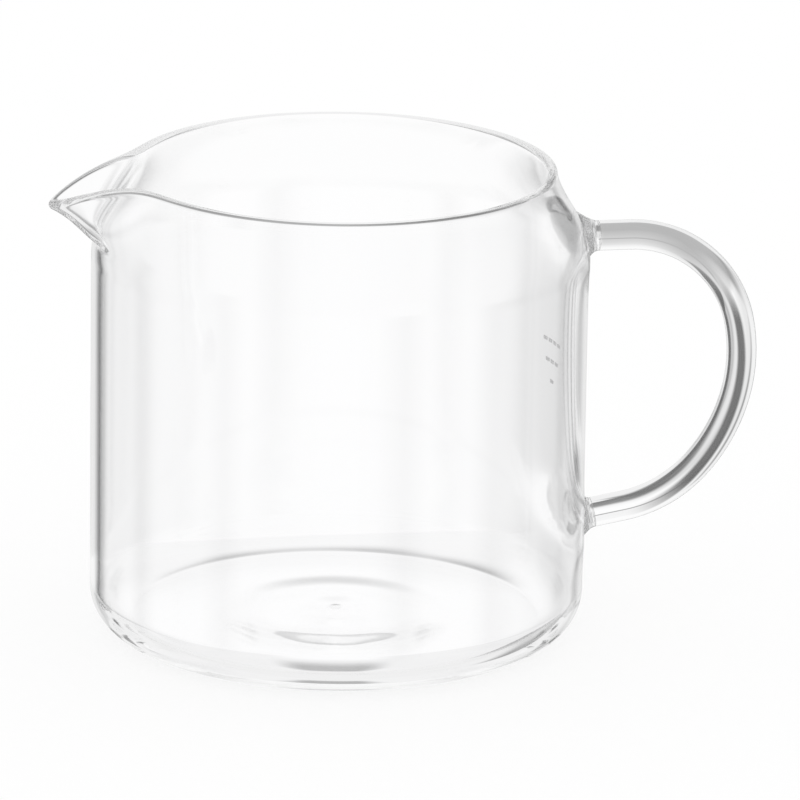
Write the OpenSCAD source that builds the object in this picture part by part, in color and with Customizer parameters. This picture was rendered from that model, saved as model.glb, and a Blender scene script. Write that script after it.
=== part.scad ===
// Clear glass tea serving pitcher: a blown vessel with a drawn spout, a glass rod handle and its two welds.
// Millimetres, +Z up. The origin is on the vessel's axis, at the face it stands on.
// The spout points along -X and the handle along +X.

/* [Vessel] */
// Outside diameter of the straight wall
body_d = 85; // [70:0.5:110]
// Height from the table to the top of the rim
body_h = 82; // [70:0.5:98]
// Thickness of the wall
wall = 1.7; // [1:0.1:2.6]
// Thickness of the floor
floor_t = 2.4; // [1.4:0.1:4]
// Outside radius of the bottom corner
corner_r = 7.5; // [4:0.5:14]

/* [Mouth] */
// Outside diameter of the rim
mouth_d = 73.6; // [60:0.2:80]
// Height over which the wall leans in to the rim
shoulder_h = 16; // [11:0.5:24]

/* [Spout] */
// How far the lip is drawn out past the rim's circle
spout_pull = 13.8; // [6:0.2:20]
// How far the tip hangs below the rim
spout_dip = 5.6; // [1:0.2:8]
// Angle from the tip at which the lip has lost two thirds of its pull
spout_spread = 12; // [9:0.5:18]
// How far above the shoulder's foot the spout starts
spout_foot = 3.5; // [1:0.5:6]

/* [Raised floor] */
// Diameter of the raised middle of the floor, half way down its slope
raise_d = 33; // [16:1:48]
// Height of the raised middle above the floor
raise_h = 0.5; // [0.2:0.1:1.5]
// Width of the slope round the raised middle
raise_slope = 11; // [4:0.5:16]
// Diameter of the nub in the middle
nub_d = 19; // [6:1:30]
// Height of the nub
nub_h = 0.3; // [0.1:0.1:1]

/* [Handle] */
// Diameter of the glass rod
rod_d = 5.2; // [4:0.1:7]
// Widest clear gap between the wall and the rod
finger_room = 25.4; // [21:0.2:34]
// How far the upper weld's middle lies below the rim
upper_drop = 13.9; // [11:0.1:20]
// Height of the lower weld's middle above the table
lower_rise = 18.4; // [14:0.1:26]
// Straight length of the rod at each end
rod_lead = 5.5; // [2:0.5:8]
// How far the rod turns down in its upper bend, in degrees
upper_turn = 78; // [70:1:85]
// How far it has turned where its lower bend starts, in degrees
side_turn = 132; // [120:1:145]
// Fall of the rod's lower end towards the wall, in degrees
lower_fall = 10; // [0:1:20]

/* [Welds] */
// Diameter of a weld where it spreads on the wall
weld_d = 9.2; // [7.5:0.1:13]
// Length of a weld from the straight wall to the rod's end
weld_len = 2.4; // [1.5:0.1:5]

/* [Marks] */
// Turn of the marks round the wall from the handle, in degrees
mark_turn = 14.5; // [-60:0.5:60]
// Height of the top row of marks above the table
mark_rise = 46; // [30:0.5:55]
// Distance between rows of marks
mark_pitch = 3.6; // [2:0.1:5]
// Length of the longest row along the wall
mark_len = 8; // [4:0.5:14]
// Height of a mark
mark_h = 0.7; // [0.4:0.1:1.5]
// Thickness of the fired enamel
mark_t = 0.15; // [0.1:0.05:0.3]

/* [Hidden] */
$fn = 180;

body_r = body_d / 2;
mouth_r = mouth_d / 2;
rod_r = rod_d / 2;
weld_r = weld_d / 2;
raise_r = raise_d / 2;
nub_r = nub_d / 2;
shoulder_z = body_h - shoulder_h;
inner_corner_r = max(corner_r - wall, wall);
lip_r = wall / 2;

// The spout is worked out of this much of the shoulder, each side of its middle, in degrees
spout_half = 36;
// Steps round the spout and round the rest of the shoulder, in degrees
spout_step = 2;
round_step = 4;
// Steps along the curves
arc_steps = 9;
floor_steps = 24;
shoulder_steps = 8;
lip_steps = 4;
bend_steps = 11;
flare_steps = 8;
rod_sides = 24;
// The shoulder's foot is this much narrower than the wall that it grows from, and reaches this deep into it
seat_inset = 0.12;
seat_depth = 0.5;
// The shoulder starts to lean in gently, by this power of its height
lean_power = 1.1;
// The spout's pull falls off sideways by this power, and at the spout's foot it is this much narrower
side_power = 1.75;
foot_share = 0.7;
// The pull grows up the spout by this power, and the dip is sharper than the pull by the next
draw_power = 1.05;
dip_power = 1.5;
// Bars in each row of marks, from the top, and how much of its place a bar fills
row_bars = [4, 3, 1];
bar_fill = 0.7;

glass = [0.86, 0.90, 0.90, 0.45];
enamel = [0.45, 0.46, 0.46];

// Handle path: angles are measured down from the outward direction.
// A lead, three arcs that meet smoothly, and a lead. The arcs' radii follow from the room.
rod_start = body_r + weld_len;
upper_z = body_h - upper_drop;
lower_z = lower_rise;
reach = finger_room + rod_r - weld_len;
fall = upper_z - lower_z - rod_lead * sin(lower_fall);
upper_room = reach - rod_lead;
lower_room = reach - rod_lead * cos(lower_fall);
upper_tan = (1 - cos(upper_turn)) / sin(upper_turn);
side_a = cos(upper_turn) - cos(side_turn) - upper_tan * (1 - sin(upper_turn));
low_a = cos(side_turn) + cos(lower_fall);
side_b = 1 - sin(side_turn);
low_b = sin(side_turn) - sin(lower_fall);
fall_left = fall - upper_tan * upper_room;
det = side_a * low_b - low_a * side_b;
side_bend = (fall_left * low_b - low_a * lower_room) / det;
lower_bend = (side_a * lower_room - side_b * fall_left) / det;
upper_bend = (upper_room - side_bend * (1 - sin(upper_turn))) / sin(upper_turn);

// Eases from 0 to 1 with no slope at either end
function ease(t) = t * t * (3 - 2 * t);

// Outside radius of the shoulder at a share of its height
function shoulder_r(t) = body_r - (body_r - mouth_r) * ease(pow(t, lean_power));

// Points of a quarter or half turn, as [radius, height] about a middle
function arc(mid, r, from, to, steps) =
    [for (i = [0:steps]) let (a = from + (to - from) * i / steps) mid + r * [cos(a), sin(a)]];

// Shoulder and rim as one loop: up the outside, over the rim and down the inside
function shoulder_side(inset) =
    [for (i = [0:shoulder_steps - 1])
        let (t = i / shoulder_steps)
        [shoulder_r(t) - inset, shoulder_z + t * (shoulder_h - lip_r)]];
rim_arc = arc([mouth_r - lip_r, body_h - lip_r], lip_r, 0, 180, lip_steps);
shoulder_loop = concat(
    [[body_r - seat_inset, shoulder_z - seat_depth]],
    [for (i = [1:shoulder_steps - 1]) shoulder_side(0)[i]],
    rim_arc,
    [for (i = [shoulder_steps - 1:-1:1]) shoulder_side(wall)[i]],
    [[body_r - wall + seat_inset, shoulder_z - seat_depth]]);

// Outside of the vessel from the axis to the shoulder, and its inside from the shoulder to the axis
outer_foot = concat([[0, 0]], arc([body_r - corner_r, corner_r], corner_r, -90, 0, arc_steps));
inner_mid = [body_r - wall - inner_corner_r, floor_t + inner_corner_r];
inner_foot = arc(inner_mid, inner_corner_r, 0, -90, arc_steps);

// Inside of the floor at a radius: its raised middle, with a soft slope round it and a nub on it
function floor_z(r) =
    let (raised = 1 - ease(max(0, min(1, (r - raise_r) / raise_slope + 0.5))))
    let (nub = 1 - ease(min(1, r / nub_r)))
    floor_t + raise_h * raised + nub_h * nub;
raised_floor = [for (i = [floor_steps - 1:-1:0])
    let (r = inner_mid[0] * i / floor_steps)
    [r, floor_z(r)]];

// Pull of the lip at an angle from the spout's middle, as a share of the most, narrower lower down
function spread(rise) = spout_spread * (foot_share + (1 - foot_share) * rise);
function bell(a, rise) = exp(-pow(abs(a) / spread(rise), side_power));
function pull(a, rise) =
    abs(a) >= spout_half ? 0 : (bell(a, rise) - bell(spout_half, rise)) / (1 - bell(spout_half, rise));

// Where a point of the shoulder's loop goes when the spout is drawn out
function drawn(p, a) =
    let (rise = max(0, p[1] - shoulder_z - spout_foot) / (shoulder_h - spout_foot))
    let (share = pull(a, rise))
    let (r = p[0] + spout_pull * share * pow(rise, draw_power))
    let (z = p[1] - spout_dip * pow(share, dip_power) * rise)
    [r * cos(180 + a), r * sin(180 + a), z];

// A skin over a row of rings with as many points each. A closed row joins its last ring to its first.
module skin(rings, closed) {
    count = len(rings[0]);
    total = len(rings);
    sides = [for (i = [0:closed ? total - 1 : total - 2]) for (j = [0:count - 1])
        let (here = i * count)
        let (next = (i + 1) % total * count)
        let (k = (j + 1) % count)
        each [[here + j, here + k, next + k], [here + j, next + k, next + j]]];
    first_cap = [for (j = [count - 1:-1:0]) j];
    last_cap = [for (j = [0:count - 1]) (total - 1) * count + j];
    caps = closed ? [] : [first_cap, last_cap];
    polyhedron([for (ring = rings) each ring], concat(sides, caps), convexity = 6);
}

// The shape inside the vessel's outer skin, for cutting what is welded to it
module outer_form() {
    rotate_extrude()
        polygon(concat(outer_foot, shoulder_side(0), [[mouth_r, body_h], [0, body_h]]));
}

// Floor and straight wall
module straight_vessel() {
    rotate_extrude()
        polygon(concat(
            outer_foot,
            [[body_r, shoulder_z], [body_r - wall, shoulder_z]],
            inner_foot,
            raised_floor));
}

// Shoulder, rim and spout
module drawn_shoulder() {
    turns = concat(
        [for (a = [-spout_half:spout_step:spout_half]) a],
        [for (a = [spout_half + round_step:round_step:360 - spout_half - round_step]) a]);
    skin([for (a = turns) [for (p = shoulder_loop) drawn(p, a)]], true);
}

module vessel() {
    color(glass) union() {
        straight_vessel();
        drawn_shoulder();
    }
}

// Where a bend of the rod is at a heading, from its start
function bend_point(start, r, from, to) = start + r * [sin(to) - sin(from), cos(to) - cos(from)];

// The rod's middle line through one bend, as [x, z, heading]
function bend_line(start, r, from, to) =
    [for (i = [1:bend_steps])
        let (h = from + (to - from) * i / bend_steps)
        concat(bend_point(start, r, from, h), [h])];

// A ring of the rod round a point of its middle line
function rod_ring(p) =
    [for (j = [0:rod_sides - 1])
        let (a = 360 * j / rod_sides)
        let (out = rod_r * cos(a))
        [p[0] + out * sin(p[2]), rod_r * sin(a), p[1] + out * cos(p[2])]];

module handle() {
    end_turn = 180 - lower_fall;
    p0 = [rod_start, upper_z];
    p1 = p0 + [rod_lead, 0];
    p2 = bend_point(p1, upper_bend, 0, upper_turn);
    p3 = bend_point(p2, side_bend, upper_turn, side_turn);
    p4 = bend_point(p3, lower_bend, side_turn, end_turn);
    p5 = p4 + rod_lead * [cos(end_turn), -sin(end_turn)];
    line = concat(
        [concat(p0, [0]), concat(p1, [0])],
        bend_line(p1, upper_bend, 0, upper_turn),
        bend_line(p2, side_bend, upper_turn, side_turn),
        bend_line(p3, lower_bend, side_turn, end_turn),
        [concat(p5, [end_turn])]);
    color(glass) skin([for (p = line) rod_ring(p)], false);
}

// A weld that flares from the rod's end on to the wall, along a heading that rises outward
module weld(end, rise) {
    root = weld_r + wall;
    flare = [for (i = [0:flare_steps])
        let (t = i / flare_steps)
        [rod_r + (weld_r - rod_r) * t * t, -weld_len * t]];
    difference() {
        translate([end[0], 0, end[1]])
            rotate([0, 90 - rise, 0])
                rotate_extrude()
                    polygon(concat([[0, 0]], flare, [[weld_r, -weld_len - root], [0, -weld_len - root]]));
        outer_form();
    }
}

module upper_weld() {
    color(glass) weld([rod_start, upper_z], 0);
}

module lower_weld() {
    color(glass) weld([rod_start, lower_z], lower_fall);
}

// Plain short bars of fired enamel, in rows that share a middle line
module wall_marks() {
    bar_pitch = mark_len / row_bars[0];
    pitch_turn = bar_pitch / body_r * 180 / PI;
    bar_turn = bar_fill * pitch_turn;
    color(enamel)
        for (row = [0:len(row_bars) - 1])
            for (bar = [0:row_bars[row] - 1])
                translate([0, 0, mark_rise - row * mark_pitch])
                    rotate([0, 0, mark_turn + (bar - (row_bars[row] - 1) / 2) * pitch_turn - bar_turn / 2])
                        rotate_extrude(angle = bar_turn)
                            translate([body_r, 0])
                                square([mark_t, mark_h]);
}

vessel();
handle();
upper_weld();
lower_weld();
wall_marks();
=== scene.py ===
"""Clear glass tea serving pitcher: a blown vessel with a drawn spout and a welded rod handle."""

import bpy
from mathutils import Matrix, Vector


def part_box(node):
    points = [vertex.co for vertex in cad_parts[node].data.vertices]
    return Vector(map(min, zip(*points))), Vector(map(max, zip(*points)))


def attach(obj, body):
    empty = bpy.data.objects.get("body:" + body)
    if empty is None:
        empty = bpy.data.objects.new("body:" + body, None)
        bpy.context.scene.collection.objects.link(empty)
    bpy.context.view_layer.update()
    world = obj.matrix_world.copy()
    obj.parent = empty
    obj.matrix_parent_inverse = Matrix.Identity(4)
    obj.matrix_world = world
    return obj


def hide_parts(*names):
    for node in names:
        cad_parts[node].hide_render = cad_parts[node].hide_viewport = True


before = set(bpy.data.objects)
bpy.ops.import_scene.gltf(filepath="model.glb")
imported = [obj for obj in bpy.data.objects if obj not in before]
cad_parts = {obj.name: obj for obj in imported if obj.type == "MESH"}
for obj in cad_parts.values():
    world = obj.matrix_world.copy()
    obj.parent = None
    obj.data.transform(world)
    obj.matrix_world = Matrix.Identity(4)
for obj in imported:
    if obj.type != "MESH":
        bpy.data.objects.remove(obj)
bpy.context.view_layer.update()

import math

import bmesh
import bpy
from mathutils import Matrix, Vector

MM = 0.001

# Sizes from the frame, in millimetres
vessel_low, vessel_high = [[c / MM for c in corner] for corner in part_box("vessel")]
handle_low, handle_high = [[c / MM for c in corner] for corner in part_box("handle")]
BODY_R = (vessel_high[1] - vessel_low[1]) / 2
BODY_H = vessel_high[2]
ROD_R = (handle_high[1] - handle_low[1]) / 2

# Vessel, as the solids have it, in millimetres
WALL = 1.7
FLOOR_T = 2.4
CORNER_R = 7.5
MOUTH_R = 36.8
SHOULDER_H = 16.0
LEAN_POWER = 1.1
RAISE_R = 16.5
RAISE_H = 0.5
RAISE_SLOPE = 11.0
NUB_R = 9.5
NUB_H = 0.3

# Spout, as the solids have it, in millimetres and degrees
SPOUT_FOOT = 3.5
SPOUT_PULL = 13.8
SPOUT_DIP = 5.6
SPOUT_SPREAD = 12.0
SPOUT_HALF = 36.0
FOOT_SHARE = 0.7
SIDE_POWER = 1.75
DRAW_POWER = 1.05
DIP_POWER = 1.5

# Handle and welds, as the solids have them, in millimetres and degrees
ROD_LEAD = 5.5
UPPER_DROP = 13.9
LOWER_Z = 18.4
FINGER_ROOM = 25.4
UPPER_TURN = 78.0
SIDE_TURN = 132.0
LOWER_FALL = 10.0
WELD_R = 4.6
WELD_LEN = 2.4

# Marks on the wall, as the solids have them, in millimetres and degrees
MARK_TURN = 14.5
MARK_RISE = 46.0
MARK_PITCH = 3.6
MARK_LEN = 8.0
MARK_H = 0.7
MARK_T = 0.15
ROW_BARS = (4, 3, 1)
BAR_FILL = 0.7

# Finer shapes, in millimetres: the pip in the floor and the hollows in the wall at the welds
PIP_R = 1.6
PIP_H = 0.08
DIMPLE_ACROSS = 12.0
DIMPLE_UP = 5.0
DIMPLE_IN = 0.6
DIMPLE_OUT = 0.2
# How far the hollows fade out past their edge, as a share of their half width
DIMPLE_TAIL = 0.35
# How deep, in millimetres, the rod and the welds sink into what they join, and the bars into the wall
EMBED = 0.2
BAR_SINK = 0.03
# Bevel at the top and the bottom of the bars, in millimetres
BAR_BEVEL = 0.08

# Values worked out from those above
SHOULDER_Z = BODY_H - SHOULDER_H
INNER_CORNER_R = CORNER_R - WALL
RIM_R = WALL / 2
RIM_Z = BODY_H - RIM_R
ROD_START = BODY_R + WELD_LEN
UPPER_Z = BODY_H - UPPER_DROP
# Height of each weld, and how much the rod rises away from it
WELDS = {"upper_weld": (UPPER_Z, 0.0), "lower_weld": (LOWER_Z, LOWER_FALL)}

# Mesh steps round the vessel in degrees, fine within FINE_TURN of the handle and the spout
BACK_TURN_STEP = 1.5
FRONT_TURN_STEP = 0.9
FINE_TURN_STEP = 0.6
FINE_TURN = 24.0
# Mesh steps along the vessel, in millimetres
WALL_STEP = 3.0
FINE_STEP = 0.5
# Counts of mesh steps and sides
UNDER_STEPS = 6
CORNER_STEPS = 20
RIM_STEPS = 14
ROD_SIDES = 48
BEND_STEPS = 40
WELD_SIDES = 64
FLARE_STEPS = 20
BAR_STEPS = 6
# Step for taking directions on the wall, in millimetres up it and in degrees round it
SLOPE_STEP = 0.2
# Faces of a weld that lie this close to the rod's end count as on it, in millimetres
END_SLACK = 0.001

# Glass: its waves as a stretch along the axes, a scale and a height in metres, and its haze
GLASS_COLOUR = (0.997, 0.997, 0.999, 1)
GLASS_IOR = 1.47
VESSEL_WAVES = ((1, 1, 0.25), 90.0, 0.00002)
HANDLE_WAVES = ((1, 1, 1), 120.0, 0.00002)
WELD_WAVES = ((1, 1, 1), 300.0, 0.00003)
WAVE_DETAIL = 1.0
HAZE_SCALE = 60.0
HAZE_DETAIL = 3.0
HAZE_BETWEEN = (0.5, 0.9)
HAZE_ROUGHNESS = 0.01
# The most times that light bounces, so many that none stops inside the welds and leaves them black
BOUNCES = 1024

# Enamel: its grain, the two greys in it, its bump in metres, its roughness and how much light it stops
GRAIN_SCALE = 4000.0
GRAIN_DETAIL = 3.0
GRAIN_BETWEEN = (0.3, 0.7)
ENAMEL_GREYS = ((0.62, 0.625, 0.63, 1), (0.78, 0.785, 0.79, 1))
ENAMEL_BUMP = 0.00003
ENAMEL_ROUGHNESS = 0.45
ENAMEL_COVER = 0.42

# Camera, at the photograph's angle: degrees, millimetres, and metres for the clip distances
CAMERA_TURN = -10.0
CAMERA_RISE = 16.79
CAMERA_ROLL = 0.86
CAMERA_AWAY = 1400.0
CAMERA_AIM = (10.433, -1.840, 40.443)
CAMERA_LENS = 367.3
CAMERA_CLIP = (0.01, 100.0)
SENSOR = 36.0

# Floor: half its side and how far it lies below the object, in millimetres, and the share of its white
# that comes from the light on it
FLOOR_HALF = 8000.0
FLOOR_DROP = 0.1
FLOOR_SHARE = 0.12

# Studio of soft white panels with dark gaps between them: tones from 0, black, to 1, white, at angles
# from +Y towards +X in degrees, for five levels from straight below to straight above
STUDIO_UNDER = ((-180, 0.94), (180, 0.94))
STUDIO_LOW = (
    (-180, 0.90), (-112, 0.75), (-90, 0.85), (-76, 0.62), (-68, 0.70), (-60, 0.97), (-44, 0.92), (-34, 0.80),
    (-24, 0.80), (-16, 0.62), (-6, 0.55), (0, 0.58), (5, 0.66), (10, 0.66), (14, 0.56), (20, 0.42),
    (30, 0.50), (38, 0.62), (44, 0.74), (50, 0.84), (60, 0.84), (110, 0.72), (122, 0.85), (148, 0.85),
    (160, 0.70), (180, 0.90),
)
STUDIO_MIDDLE = (
    (-180, 1.0), (-126, 0.95), (-116, 0.52), (-104, 0.97), (-76, 0.97), (-66, 0.52), (-57, 0.97),
    (-33, 0.97), (-27, 0.46), (-20, 0.46), (-17, 0.62), (-14, 0.87), (-11, 0.91), (-4, 0.91), (4, 0.955),
    (7, 1.0), (12, 1.0), (14.5, 0.90), (17, 0.85), (24, 0.91), (30, 0.90), (36, 0.70), (44, 0.92),
    (95, 0.90), (112, 0.52), (124, 0.97), (146, 0.97), (158, 0.52), (172, 0.97),
)
STUDIO_BAND = (
    (-180, 0.95), (-126, 0.93), (-116, 0.52), (-104, 0.95), (-76, 0.95), (-66, 0.52), (-56, 0.95),
    (-34, 0.93), (-28, 0.50), (-18, 0.55), (-12, 0.92), (-8, 0.97), (14, 0.97), (20, 0.95), (29, 0.92),
    (33, 0.45), (50, 0.40), (56, 0.92), (120, 0.92), (135, 0.95), (150, 0.92), (180, 0.95),
)
STUDIO_HIGH = (
    (-180, 0.95), (-100, 0.92), (-60, 0.95), (-20, 0.97), (0, 1.0), (25, 1.0), (45, 0.95), (120, 0.88),
    (135, 0.95), (150, 0.88), (180, 0.95),
)
# A thin darker line between the middle and the band, which draws the front of the raised floor
FLOOR_LINE = ((-6, 0.91), (-1, 0.66), (21, 0.66), (26, 0.91))
# Sines of the elevations between which the studio changes from one level to the next
UNDER_TO_LOW = (-0.76, -0.66)
LOW_TO_MIDDLE = (-0.495, -0.385)
MIDDLE_TO_LINE = (-0.145, -0.13)
LINE_TO_BAND = (-0.105, -0.085)
BAND_TO_HIGH = (0.21, 0.28)

# Cards behind the glass: left and right edge, bottom and top edge and distance back, in millimetres,
# the widths of those four edges, which are soft, and the tone
CARDS = {
    "upper_card": ((46, 76), (53, 74), 12, (2, 14, 2, 13), 0.71),
    "back_card": ((-30, 45), (54, 80), 55, (8, 8, 6, 6), 1.0),
    "left_ground_card": ((-120, 3), (-140, -32), 60, (10, 8, 10, 3), 0.95),
    "right_ground_card": ((16, 72), (-140, -32), 60, (8, 4, 10, 3), 0.95),
    "floor_card": ((-42, 52), (-8.5, 1.0), 45, (12, 18, 6.5, 0.8), 0.98),
    "left_floor_card": ((-60, -8), (-14, 0), 46, (10, 14, 8, 2), 0.97),
    "right_floor_card": ((12, 46), (-14, 0), 46, (16, 10, 8, 2), 0.97),
}
# Strips behind the rod, bent along it: how far out from the rod's middle line, as the camera sees it, their
# inner and their outer edge lie, each at the upper and at the lower end, in millimetres, and the tone
STRANDS = {
    "edge_strand": ((-8.0, -12.0), (-1.3, -6.5), 0.96),
    "inner_strand": ((0.1, -5.8), (2.7, -0.4), 0.40),
    "outer_strand": ((4.2, 2.7), (14.0, 8.0), 0.36),
}
# How far behind the rod the strips lie, in millimetres, and the rod's heading where they start, in degrees
STRAND_BACK = 10.0
STRAND_FROM = 50.0
# Shares of their width that are soft at each edge, and of their length that fade at each end
STRAND_SOFT = 0.3
STRAND_FADES = (0.15, 0.4)

# The curve by which a display turns light into tones
DISPLAY_OFFSET = 0.055
DISPLAY_POWER = 2.4


# Curves and meshes

def ease(t):
    """From 0 to 1 with no slope at either end."""
    return t * t * (3 - 2 * t)


def arc(mid, r, start, end, steps):
    """Points of an arc about mid, as (radius, height)."""
    turns = [math.radians(start + (end - start) * i / steps) for i in range(steps + 1)]
    return [(mid[0] + r * math.cos(a), mid[1] + r * math.sin(a)) for a in turns]


def line(start, end, steps):
    """Points after start, up to end."""
    shares = [i / steps for i in range(1, steps + 1)]
    return [(start[0] + (end[0] - start[0]) * s, start[1] + (end[1] - start[1]) * s) for s in shares]


def span(start, end, step):
    """Even values from start up to, but not with, end."""
    count = max(1, round(abs(end - start) / step))
    return [start + (end - start) * i / count for i in range(count)]


def steps_through(*stops):
    """Values through (value, step) stops, each step used up to the next stop, so the last has none."""
    values = []
    for (start, step), (end, _) in zip(stops, stops[1:]):
        values += span(start, end, step)
    return values + [stops[-1][0]]


def at(r, z, turn):
    """A point at a radius, a height and a turn from the handle in degrees."""
    return Vector((r * math.cos(math.radians(turn)), r * math.sin(math.radians(turn)), z))


def new_mesh(name, points, faces):
    """A mesh from points in millimetres."""
    mesh = bpy.data.meshes.new(name)
    mesh.from_pydata([[c * MM for c in p] for p in points], [], faces)
    return mesh


def new_object(name, data):
    """An object in the scene."""
    thing = bpy.data.objects.new(name, data)
    bpy.context.scene.collection.objects.link(thing)
    return thing


def closed_skin(name, first, rings, last):
    """A closed smooth mesh from a row of rings, in millimetres, with a point at each end.

    Seen from the last ring, looking back along the row, the rings turn anticlockwise.
    """
    count = len(rings[0])
    points = [first] + [p for ring in rings for p in ring] + [last]
    end = len(points) - 1
    faces = [(0, 1 + (j + 1) % count, 1 + j) for j in range(count)]
    for i in range(len(rings) - 1):
        here = 1 + i * count
        for j in range(count):
            k = (j + 1) % count
            faces.append((here + j, here + k, here + count + k, here + count + j))
    top = 1 + (len(rings) - 1) * count
    faces += [(end, top + j, top + (j + 1) % count) for j in range(count)]
    mesh = new_mesh(name, points, faces)
    mesh.shade_smooth()
    mesh.update()
    return new_object(name, mesh)


def dress(piece, material, slot, *nodes):
    """Gives a piece its material and its place in the frame, and hides the imported nodes that it stands for.
    """
    piece.data.materials.append(material)
    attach(piece, "root")
    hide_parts(*nodes)


def join(piece, joint, inside_other):
    """Gives the faces that lie inside another piece of glass the joint's material."""
    piece.data.materials.append(joint)
    for face in piece.data.polygons:
        if inside_other(face.center / MM):
            face.material_index = 1


# Materials

def feed(tree, socket, value):
    """Links another node's output to a socket, or sets the socket to a plain value."""
    if isinstance(value, bpy.types.NodeSocket):
        tree.links.new(value, socket)
    else:
        socket.default_value = value


def fill(tree, node, **inputs):
    """Sets or links some of a node's inputs, with _ for each space in their names."""
    for key, value in inputs.items():
        feed(tree, node.inputs[key.replace("_", " ")], value)


def add(tree, kind, **inputs):
    """A new node with some of its inputs set or linked."""
    node = tree.nodes.new(kind)
    fill(tree, node, **inputs)
    return node


def new_material(name):
    """A material with its node tree and its Principled shader."""
    material = bpy.data.materials.new(name)
    material.use_nodes = True
    tree = material.node_tree
    return material, tree, tree.nodes["Principled BSDF"]


def glass(name, stretch, wave_scale, wave_height):
    """Clear glass with faint waves in its surface, drawn out along one axis, and a film of haze."""
    material, tree, shader = new_material(name)
    place = add(tree, "ShaderNodeTexCoord").outputs["Object"]
    along = add(tree, "ShaderNodeMapping", Vector=place, Scale=stretch).outputs["Vector"]
    waves = add(tree, "ShaderNodeTexNoise", Vector=along, Scale=wave_scale, Detail=WAVE_DETAIL)
    bump = add(tree, "ShaderNodeBump", Height=waves.outputs["Fac"], Distance=wave_height, Strength=1.0)
    film = add(tree, "ShaderNodeTexNoise", Vector=place, Scale=HAZE_SCALE, Detail=HAZE_DETAIL)
    haze = add(tree, "ShaderNodeMapRange", Value=film.outputs["Fac"], To_Max=HAZE_ROUGHNESS)
    fill(tree, haze, From_Min=HAZE_BETWEEN[0], From_Max=HAZE_BETWEEN[1])
    fill(tree, shader, Base_Color=GLASS_COLOUR, Transmission_Weight=1, IOR=GLASS_IOR)
    fill(tree, shader, Normal=bump.outputs["Normal"], Roughness=haze.outputs["Result"])
    return material


def joined_glass():
    """Glass that is one with the glass behind it, for faces inside a weld, where light goes straight on."""
    material, tree, shader = new_material("joined_glass")
    fill(tree, shader, Transmission_Weight=1, Roughness=0, IOR=1.0)
    return material


def enamel():
    """Grey enamel, fired on so thin that it is uneven and lets some light through."""
    material, tree, shader = new_material("mark_enamel")
    place = add(tree, "ShaderNodeTexCoord").outputs["Object"]
    grain = add(tree, "ShaderNodeTexNoise", Vector=place, Scale=GRAIN_SCALE, Detail=GRAIN_DETAIL)
    grey = add(tree, "ShaderNodeValToRGB", Fac=grain.outputs["Fac"])
    for stop, position, colour in zip(grey.color_ramp.elements, GRAIN_BETWEEN, ENAMEL_GREYS):
        stop.position = position
        stop.color = colour
    bump = add(tree, "ShaderNodeBump", Height=grain.outputs["Fac"], Distance=ENAMEL_BUMP)
    fill(tree, shader, Base_Color=grey.outputs["Color"], Normal=bump.outputs["Normal"])
    fill(tree, shader, Roughness=ENAMEL_ROUGHNESS, Alpha=ENAMEL_COVER)
    return material


# Vessel

def shoulder_r(t):
    """Outside radius of the shoulder at a share of its height."""
    return BODY_R - (BODY_R - MOUTH_R) * ease(t ** LEAN_POWER)


def spread(t):
    """Half width of the spout's pull at a share of the spout's height, in degrees."""
    return SPOUT_SPREAD * (FOOT_SHARE + (1 - FOOT_SHARE) * t)


def pull(turn, t):
    """Share of the spout's pull at an angle from its middle."""
    if abs(turn) >= SPOUT_HALF:
        return 0.0
    bell = math.exp(-(abs(turn) / spread(t)) ** SIDE_POWER)
    edge = math.exp(-(SPOUT_HALF / spread(t)) ** SIDE_POWER)
    return (bell - edge) / (1 - edge)


def dimple(turn, z):
    """How far the hot wall followed the rod at the two welds, as a share of the most."""
    side = turn if turn <= 180 else turn - 360
    along = BODY_R * math.radians(side)
    aways = [math.hypot(along / DIMPLE_ACROSS, (z - weld_z) / DIMPLE_UP) for weld_z in (UPPER_Z, LOWER_Z)]
    return sum(math.exp(min(0.0, 1 - away) / DIMPLE_TAIL) for away in aways)


def drawn(z, turn):
    """A point of the wall's outside, before the welds, with the shoulder and the spout."""
    t = max(0.0, z - SHOULDER_Z) / SHOULDER_H
    rise = max(0.0, z - SHOULDER_Z - SPOUT_FOOT) / (SHOULDER_H - SPOUT_FOOT)
    share = pull(turn - 180, rise)
    r = shoulder_r(t) + SPOUT_PULL * share * rise ** DRAW_POWER
    return at(r, z - SPOUT_DIP * share ** DIP_POWER * rise, turn)


def drawn_up(z, turn):
    """The direction up along the wall."""
    return (drawn(z + SLOPE_STEP, turn) - drawn(z - SLOPE_STEP, turn)).normalized()


def outside(z, turn):
    """A point of the wall's outside."""
    return drawn(z, turn) + at(DIMPLE_OUT * dimple(turn, z), 0, turn)


def inside(z, turn):
    """A point of the wall's inside, one wall square in from the outside, with the hollows at the welds."""
    round_wall = drawn(z, turn + SLOPE_STEP) - drawn(z, turn - SLOPE_STEP)
    square = round_wall.cross(drawn_up(z, turn)).normalized()
    return drawn(z, turn) - square * WALL + at(DIMPLE_IN * dimple(turn, z), 0, turn)


def rim(turn):
    """The points over the round rim, from the outside to the inside."""
    out, back = drawn(RIM_Z, turn), inside(RIM_Z, turn)
    mid, side = (out + back) / 2, (out - back) / 2
    up = drawn_up(RIM_Z, turn) * RIM_R
    turns = [math.pi * i / RIM_STEPS for i in range(RIM_STEPS + 1)]
    return [mid + side * math.cos(a) + up * math.sin(a) for a in turns]


def floor_z(r):
    """Height of the inside floor: its raised middle, the nub on it and a pip where the glass was closed."""
    raised = 1 - ease(min(1.0, max(0.0, (r - RAISE_R) / RAISE_SLOPE + 0.5)))
    nub = 1 - ease(min(1.0, r / NUB_R))
    pip = 1 - ease(min(1.0, r / PIP_R))
    return FLOOR_T + RAISE_H * raised + NUB_H * nub + PIP_H * pip


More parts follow.
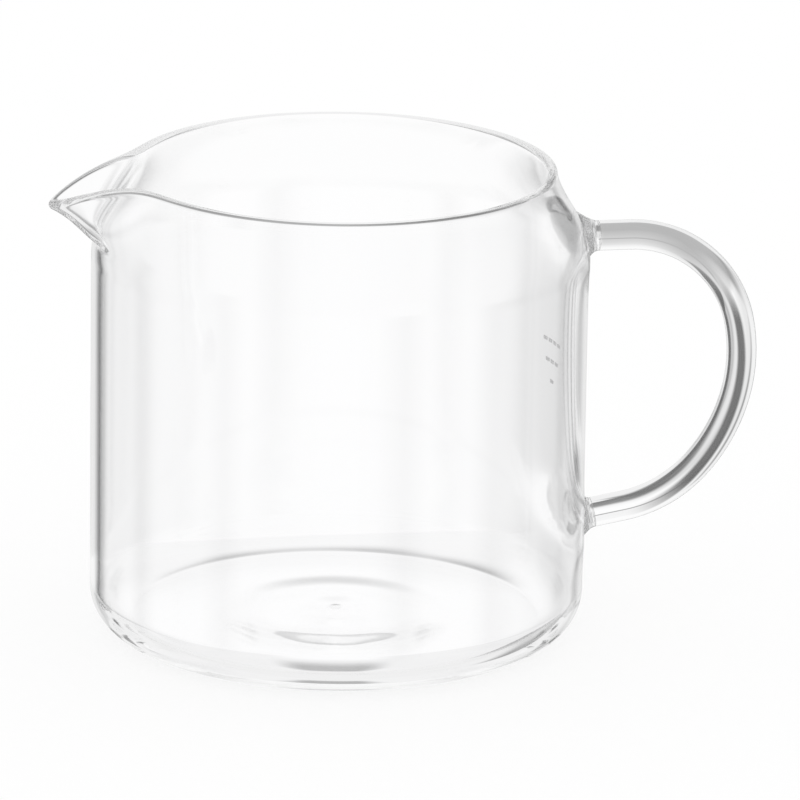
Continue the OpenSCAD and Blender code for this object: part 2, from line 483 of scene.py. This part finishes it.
def weld_axis(name):
    """Where the rod ends at a weld, and the direction from there into the rod."""
    z, rise = WELDS[name]
    return Vector((ROD_START, 0, z)), Vector((math.cos(math.radians(rise)), 0, math.sin(math.radians(rise))))


def under_weld(point):
    """Whether a point of the vessel is on its outside, under a weld."""
    out = math.hypot(point.x, point.y)
    if point.x < BODY_R / 2 or out < drawn(point.z, 0).x - WALL / 2:
        return False
    return any((point - end).cross(axis).length < WELD_R for end, axis in map(weld_axis, WELDS))


def make_vessel(material, joint):
    """Floor, wall, shoulder, rim and spout in one blown piece."""
    turns = steps_through((FINE_TURN, BACK_TURN_STEP), (180 - FINE_TURN, FINE_TURN_STEP),
                          (180 + FINE_TURN, FRONT_TURN_STEP), (360 - FINE_TURN, FINE_TURN_STEP),
                          (360 + FINE_TURN, None))[:-1]
    corner = arc((BODY_R - CORNER_R, CORNER_R), CORNER_R, -90, 0, CORNER_STEPS)
    inner_mid = (BODY_R - WALL - INNER_CORNER_R, FLOOR_T + INNER_CORNER_R)
    inner = arc(inner_mid, INNER_CORNER_R, 0, -90, CORNER_STEPS)
    under = line((0, 0), corner[0], UNDER_STEPS) + corner[1:-1]
    weld_low, weld_high = LOWER_Z - WELD_R, LOWER_Z + WELD_R
    rises = steps_through((CORNER_R, WALL_STEP), (weld_low, FINE_STEP), (weld_high, WALL_STEP),
                          (UPPER_Z - WELD_R, FINE_STEP), (RIM_Z, None))[:-1]
    falls = steps_through((RIM_Z, FINE_STEP), (UPPER_Z - WELD_R, WALL_STEP),
                          (weld_high + WELD_R, 2 * FINE_STEP), (inner_mid[1], None))[1:-1]
    radii = steps_through((inner[-1][0], WALL_STEP), (RAISE_R + RAISE_SLOPE / 2, 2 * FINE_STEP),
                          (PIP_R, FINE_STEP / 2), (0, None))[1:-1]
    rings = [[at(r, z, turn) for turn in turns] for r, z in under]
    rings += [[outside(z, turn) for turn in turns] for z in rises]
    rings += [list(ring) for ring in zip(*[rim(turn) for turn in turns])]
    rings += [[inside(z, turn) for turn in turns] for z in falls]
    rings += [[at(r, z, turn) for turn in turns] for r, z in inner]
    rings += [[at(r, floor_z(r), turn) for turn in turns] for r in radii]
    piece = closed_skin("vessel_glass", (0, 0, 0), rings, (0, 0, floor_z(0)))
    dress(piece, material, "vessel_glass", "vessel")
    join(piece, joint, under_weld)


# Handle

def handle_bends():
    """Radii of the rod's upper, side and lower bends, from the room that the hand has."""
    upper, side, end = [math.radians(a) for a in (UPPER_TURN, SIDE_TURN, 180 - LOWER_FALL)]
    reach = FINGER_ROOM + ROD_R - WELD_LEN
    fall = UPPER_Z - LOWER_Z - ROD_LEAD * math.sin(end)
    upper_room = reach - ROD_LEAD
    lower_room = reach + ROD_LEAD * math.cos(end)
    slope = (1 - math.cos(upper)) / math.sin(upper)
    side_a = math.cos(upper) - math.cos(side) - slope * (1 - math.sin(upper))
    low_a = math.cos(side) - math.cos(end)
    side_b = 1 - math.sin(side)
    low_b = math.sin(side) - math.sin(end)
    fall_left = fall - slope * upper_room
    det = side_a * low_b - low_a * side_b
    side_bend = (fall_left * low_b - low_a * lower_room) / det
    lower_bend = (side_a * lower_room - side_b * fall_left) / det
    upper_bend = (upper_room - side_bend * (1 - math.sin(upper))) / math.sin(upper)
    return upper_bend, side_bend, lower_bend


def handle_line():
    """The rod's middle line as (x, z, heading), with headings down from the outward direction, in radians."""
    turns = [math.radians(a) for a in (0, UPPER_TURN, SIDE_TURN, 180 - LOWER_FALL)]
    x, z = ROD_START, UPPER_Z
    points = [(x - EMBED, z, 0.0), (x, z, 0.0), (x + ROD_LEAD, z, 0.0)]
    for r, start, end in zip(handle_bends(), turns, turns[1:]):
        x, z, _ = points[-1]
        for i in range(1, BEND_STEPS + 1):
            h = start + (end - start) * i / BEND_STEPS
            out, up = math.sin(h) - math.sin(start), math.cos(h) - math.cos(start)
            points.append((x + r * out, z + r * up, h))
    x, z, end = points[-1]
    for run in (ROD_LEAD, ROD_LEAD + EMBED):
        points.append((x + run * math.cos(end), z - run * math.sin(end), end))
    return points


def rod_ring(x, z, heading):
    """A ring of the rod round a point of its middle line."""
    ring = []
    for j in range(ROD_SIDES):
        a = 2 * math.pi * j / ROD_SIDES
        out = ROD_R * math.cos(a)
        ring.append((x + out * math.sin(heading), -ROD_R * math.sin(a), z + out * math.cos(heading)))
    return ring


def in_weld(point):
    """Whether a point of the rod is inside a weld."""
    ends = map(weld_axis, WELDS)
    return any((point - end).dot(axis) < 0 and (point - end).length < WELD_R for end, axis in ends)


def make_handle(material, joint):
    """The bent rod, sunk a little into the welds at its ends."""
    path = handle_line()
    rings = [rod_ring(*point) for point in path]
    first, last = [(x, 0, z) for x, z, _ in (path[0], path[-1])]
    piece = closed_skin("handle_rod", first, rings, last)
    dress(piece, material, "handle_glass", "handle")
    join(piece, joint, in_weld)


# Welds

def wall_x(y, z):
    """How far out the vessel's outside lies at the handle's side."""
    turn = math.degrees(math.asin(y / BODY_R))
    return outside(z, turn).x


def weld_ring(end, axis, t):
    """A ring of a weld at a share of the way from the rod's end to the wall."""
    across = Vector((0, 1, 0))
    up = axis.cross(across)
    r = ROD_R + (WELD_R - ROD_R) * t * t
    ring = []
    for j in range(WELD_SIDES):
        a = 2 * math.pi * j / WELD_SIDES
        side = across * (r * math.cos(a)) - up * (r * math.sin(a))
        base = end + side
        reach = base.x - wall_x(base.y, base.z) + EMBED
        ring.append(base - axis * (reach * t / axis.x))
    return ring


def make_weld(name, material, joint):
    """A gather of glass that flares from the rod's end on to the wall and sinks a little into it."""
    end, axis = weld_axis(name)
    rings = [weld_ring(end, axis, i / FLARE_STEPS) for i in range(FLARE_STEPS + 1)]
    foot = end - axis * ((end.x - wall_x(0, end.z) + EMBED) / axis.x)
    piece = closed_skin(name + "_glass", end, rings, foot)
    dress(piece, material, "weld_glass", name)

    def hidden(point):
        """Whether a point of the weld lies at the rod's end or inside the wall."""
        return (point - end).dot(axis) > -END_SLACK or point.x < wall_x(point.y, point.z)

    join(piece, joint, hidden)


# Marks

def add_bar(build, middle, width, z):
    """Adds one bar of enamel, bent to the wall, about a turn and over a width in degrees."""
    section = ((-BAR_SINK, 0), (MARK_T, BAR_BEVEL), (MARK_T, MARK_H - BAR_BEVEL), (-BAR_SINK, MARK_H))
    rings = []
    for i in range(BAR_STEPS + 1):
        turn = middle + width * (i / BAR_STEPS - 0.5)
        rings.append([build.verts.new(at(BODY_R + out, z + up, turn) * MM) for out, up in section])
    for one, two in zip(rings, rings[1:]):
        for j in range(len(section)):
            k = (j + 1) % len(section)
            build.faces.new((one[j], two[j], two[k], one[k]))
    build.faces.new(rings[0])
    build.faces.new(rings[-1][::-1])


def make_marks(material):
    """Short plain bars of enamel in rows on the wall near the handle."""
    build = bmesh.new()
    pitch = math.degrees(MARK_LEN / ROW_BARS[0] / BODY_R)
    for row, bars in enumerate(ROW_BARS):
        for bar in range(bars):
            middle = MARK_TURN + (bar - (bars - 1) / 2) * pitch
            add_bar(build, middle, BAR_FILL * pitch, MARK_RISE - row * MARK_PITCH)
    bmesh.ops.recalc_face_normals(build, faces=build.faces)
    mesh = bpy.data.meshes.new("wall_bars")
    build.to_mesh(mesh)
    build.free()
    dress(new_object("wall_bars", mesh), material, "mark_enamel", "wall_marks")


# Stage

def seen(tone):
    """The light that a display shows as a tone from 0, black, to 1, white."""
    return ((tone + DISPLAY_OFFSET) / (1 + DISPLAY_OFFSET)) ** DISPLAY_POWER


def maths(tree, how, a, b):
    """A Math node's result."""
    node = add(tree, "ShaderNodeMath")
    node.operation = how
    for socket, value in zip(node.inputs, (a, b)):
        feed(tree, socket, value)
    return node.outputs[0]


def panels(tree, share, levels):
    """The studio's level at a share of the full turn."""
    ramp = add(tree, "ShaderNodeValToRGB", Fac=share)
    stops = ramp.color_ramp.elements
    for i, (angle, tone) in enumerate(levels):
        stop = stops[i] if i < 2 else stops.new(1.0)
        stop.position = angle / 360 + 0.5
        stop.color = (seen(tone), seen(tone), seen(tone), 1)
    return ramp.outputs["Color"]


def smooth_share(tree, value, between):
    """How far a value has come between two others, from 0 to 1, with a soft start and end."""
    share = add(tree, "ShaderNodeMapRange", Value=value, From_Min=between[0], From_Max=between[1])
    share.interpolation_type = "SMOOTHSTEP"
    return share.outputs["Result"]


def floor_line_level():
    """The studio's middle level with the thin darker line in it."""
    first, last = FLOOR_LINE[0][0], FLOOR_LINE[-1][0]
    return sorted([stop for stop in STUDIO_MIDDLE if not first <= stop[0] <= last] + list(FLOOR_LINE))


def make_world():
    """White for the camera, the studio's panels for the glass, and even soft light for the rest."""
    world = bpy.data.worlds.new("studio")
    bpy.context.scene.world = world
    world.use_nodes = True
    tree = world.node_tree
    tree.nodes.clear()
    place = add(tree, "ShaderNodeTexCoord")
    axes = add(tree, "ShaderNodeSeparateXYZ", Vector=place.outputs["Generated"])
    turn = maths(tree, "ARCTAN2", axes.outputs["X"], axes.outputs["Y"])
    share = maths(tree, "ADD", maths(tree, "DIVIDE", turn, 2 * math.pi), 0.5)
    level = panels(tree, share, STUDIO_UNDER)
    for levels, heights in ((STUDIO_LOW, UNDER_TO_LOW), (STUDIO_MIDDLE, LOW_TO_MIDDLE),
                            (floor_line_level(), MIDDLE_TO_LINE), (STUDIO_BAND, LINE_TO_BAND),
                            (STUDIO_HIGH, BAND_TO_HIGH)):
        risen = smooth_share(tree, axes.outputs["Z"], heights)
        mix = add(tree, "ShaderNodeMix", Factor=risen, A=level, B=panels(tree, share, levels))
        level = mix.outputs["Result"]
    path = add(tree, "ShaderNodeLightPath")
    sees = maths(tree, "MAXIMUM", path.outputs["Is Glossy Ray"], path.outputs["Is Transmission Ray"])
    studio = add(tree, "ShaderNodeMix", Factor=sees, A=1.0, B=level)
    light = add(tree, "ShaderNodeBackground", Color=(1, 1, 1, 1), Strength=studio.outputs["Result"])
    add(tree, "ShaderNodeOutputWorld", Surface=light.outputs["Background"])


def show_to_glass(card, material, tree, shader, edges, tone):
    """Gives a card an even tone inside its soft edges, and hides it from all but the glass."""
    cover = 1.0
    for place, edge in edges:
        cover = maths(tree, "MULTIPLY", smooth_share(tree, place, edge), cover)
    fill(tree, shader, Base_Color=(0, 0, 0, 1), Specular_IOR_Level=0, Alpha=cover)
    fill(tree, shader, Emission_Color=(1, 1, 1, 1), Emission_Strength=seen(tone))
    card.data.materials.append(material)
    card.visible_camera = False
    card.visible_diffuse = False
    card.visible_shadow = False


def make_card(name, sides, heights, back, soft, tone):
    """A card with soft edges that only the glass sees, which gives the glass its lines."""
    corners = [(sides[i], back, heights[j]) for i, j in ((0, 0), (1, 0), (1, 1), (0, 1))]
    card = new_object(name, new_mesh(name, corners, [(0, 1, 2, 3)]))
    material, tree, shader = new_material(name)
    place = add(tree, "ShaderNodeTexCoord")
    axes = add(tree, "ShaderNodeSeparateXYZ", Vector=place.outputs["Object"])
    edges = []
    for axis, edge, inward in zip("XXZZ", sides + heights, (soft[0], -soft[1], soft[2], -soft[3])):
        edges.append((axes.outputs[axis], (edge * MM, (edge + inward) * MM)))
    show_to_glass(card, material, tree, shader, edges, tone)


def make_strand(name, inner, outer, tone):
    """A bent card with soft edges behind the rod, which gives the rod a streak."""
    along = math.tan(-math.radians(CAMERA_TURN)) * STRAND_BACK
    down = math.tan(math.radians(CAMERA_RISE)) / math.cos(math.radians(CAMERA_TURN)) * STRAND_BACK
    path = [point for point in handle_line() if point[2] >= math.radians(STRAND_FROM)]
    last = len(path) - 1
    points = []
    for i, (x, z, h) in enumerate(path):
        for upper, lower in (inner, outer):
            out = upper + (lower - upper) * (i / last)
            points.append((x + along + out * math.sin(h), STRAND_BACK, z - down + out * math.cos(h)))
    faces = [(2 * i, 2 * i + 1, 2 * i + 3, 2 * i + 2) for i in range(last)]
    mesh = new_mesh(name, points, faces)
    flat = mesh.uv_layers.new(name="along")
    for loop in mesh.loops:
        flat.data[loop.index].uv = (loop.vertex_index % 2, loop.vertex_index // 2 / last)
    strand = new_object(name, mesh)
    material, tree, shader = new_material(name)
    place = add(tree, "ShaderNodeUVMap")
    axes = add(tree, "ShaderNodeSeparateXYZ", Vector=place.outputs["UV"])
    across, length = axes.outputs["X"], axes.outputs["Y"]
    edges = ((across, (0, STRAND_SOFT)), (across, (1, 1 - STRAND_SOFT)),
             (length, (0, STRAND_FADES[0])), (length, (1, 1 - STRAND_FADES[1])))
    show_to_glass(strand, material, tree, shader, edges, tone)


def make_floor():
    """A plain white floor that glows for the camera, and takes the object's soft shadow."""
    corners = [(x * FLOOR_HALF, y * FLOOR_HALF, 0) for x, y in ((-1, -1), (1, -1), (1, 1), (-1, 1))]
    floor = new_object("floor", new_mesh("floor", corners, [(0, 1, 2, 3)]))
    floor.location.z = -FLOOR_DROP * MM
    material, tree, shader = new_material("floor_white")
    path = add(tree, "ShaderNodeLightPath")
    glow = maths(tree, "MULTIPLY", path.outputs["Is Camera Ray"], 1 - FLOOR_SHARE)
    fill(tree, shader, Base_Color=(FLOOR_SHARE, FLOOR_SHARE, FLOOR_SHARE, 1), Roughness=1)
    fill(tree, shader, Specular_IOR_Level=0, Emission_Color=(1, 1, 1, 1), Emission_Strength=glow)
    floor.data.materials.append(material)
    floor.visible_glossy = False
    floor.visible_transmission = False


def make_camera():
    """A long lens at the photograph's angle."""
    turn, rise, roll = [math.radians(a) for a in (CAMERA_TURN, CAMERA_RISE, CAMERA_ROLL)]
    back = Vector((math.sin(turn) * math.cos(rise), -math.cos(turn) * math.cos(rise), math.sin(rise)))
    right = Vector((math.cos(turn), math.sin(turn), 0))
    up = back.cross(right)
    across = right * math.cos(roll) + up * math.sin(roll)
    rising = up * math.cos(roll) - right * math.sin(roll)
    data = bpy.data.cameras.new("camera")
    data.lens = CAMERA_LENS
    data.sensor_width = SENSOR
    data.clip_start, data.clip_end = CAMERA_CLIP
    pose = Matrix((across, rising, back)).transposed().to_4x4()
    pose.translation = (Vector(CAMERA_AIM) + back * CAMERA_AWAY) * MM
    camera = new_object("camera", data)
    camera.matrix_world = pose
    bpy.context.scene.camera = camera


joint = joined_glass()
make_vessel(glass("vessel_glass", *VESSEL_WAVES), joint)
make_handle(glass("handle_glass", *HANDLE_WAVES), joint)
weld_glass = glass("weld_glass", *WELD_WAVES)
for weld in WELDS:
    make_weld(weld, weld_glass, joint)
make_marks(enamel())

make_world()
make_floor()
for card, sizes in CARDS.items():
    make_card(card, *sizes)
for strand, sizes in STRANDS.items():
    make_strand(strand, *sizes)
make_camera()
scene = bpy.context.scene
scene.view_settings.view_transform = "Standard"
scene.cycles.max_bounces = BOUNCES
scene.cycles.transmission_bounces = BOUNCES
scene.cycles.glossy_bounces = BOUNCES

bpy.context.view_layer.update()
